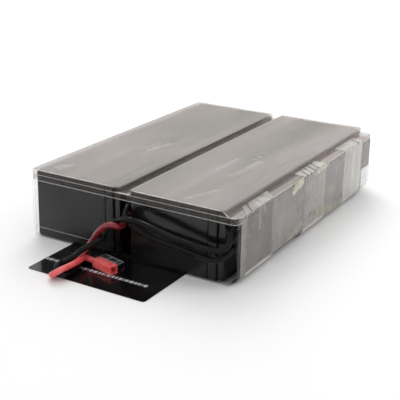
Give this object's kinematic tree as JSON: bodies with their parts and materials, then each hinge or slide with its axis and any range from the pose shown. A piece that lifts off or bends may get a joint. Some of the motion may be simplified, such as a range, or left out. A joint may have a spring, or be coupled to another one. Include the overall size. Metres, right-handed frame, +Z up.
{
  "type": "ups battery cartridge",
  "caption": "Flat battery cartridge for a rack UPS: sealed lead-acid blocks in a clear formed pack with a black pull sheet and a red and a black lead ending in single-pole plugs.",
  "frame": {"origin": "middle of the pack's underside, on the underside of the pull sheet, where the cartridge rests", "axes": "+X to the right-hand side with the ledge and the taped wiring channel, +Y to the rear, +Z up; the leads and plugs lie at the front, at -Y"},
  "size_m": [0.2184, 0.3813, 0.067],
  "materials": {
    "battery_case": "dark grey moulded battery case, satin",
    "battery_lid": "darker grey moulded lid, satin",
    "terminal": "tin-plated",
    "sleeve": "natural nylon",
    "clear_shell": "clear thermoformed sheet, glossy",
    "pull_sheet": "black polyester sheet, semi-gloss",
    "side_film": "milky translucent film",
    "tape": "clear packing tape, slightly yellowed and wrinkled",
    "tape_grey": "grey tape",
    "red_wire": "red silicone insulation",
    "black_wire": "black insulation",
    "red_plug": "red moulded plug shell",
    "black_plug": "black moulded plug shell"
  },
  "bodies": {
    "root": {"front_left_case": "battery_case", "front_left_lid": "battery_lid", "front_left_vent_cover": "battery_lid", "front_left_positive_tab": "terminal", "front_left_negative_tab": "terminal", "front_left_positive_receptacle": "sleeve", "front_left_negative_receptacle": "sleeve", "front_right_case": "battery_case", "front_right_lid": "battery_lid", "front_right_vent_cover": "battery_lid", "front_right_positive_tab": "terminal", "front_right_negative_tab": "terminal", "front_right_positive_receptacle": "sleeve", "front_right_negative_receptacle": "sleeve", "rear_left_case": "battery_case", "rear_left_lid": "battery_lid", "rear_left_vent_cover": "battery_lid", "rear_left_positive_tab": "terminal", "rear_left_negative_tab": "terminal", "rear_left_positive_receptacle": "sleeve", "rear_left_negative_receptacle": "sleeve", "rear_right_case": "battery_case", "rear_right_lid": "battery_lid", "rear_right_vent_cover": "battery_lid", "rear_right_positive_tab": "terminal", "rear_right_negative_tab": "terminal", "rear_right_positive_receptacle": "sleeve", "rear_right_negative_receptacle": "sleeve", "bottom_tray": "clear_shell", "top_cover": "clear_shell", "pull_sheet": "pull_sheet", "side_film": "side_film", "tape_front": "tape", "tape_middle": "tape", "tape_rear": "tape", "tape_corner": "tape_grey", "red_lead": "red_wire", "black_lead": "black_wire", "link_cable": "black_wire", "jumper_left": "black_wire", "jumper_right": "black_wire", "red_housing": "red_plug", "black_housing": "black_plug", "red_contact": "terminal", "black_contact": "terminal"}
  },
  "joints": []
}
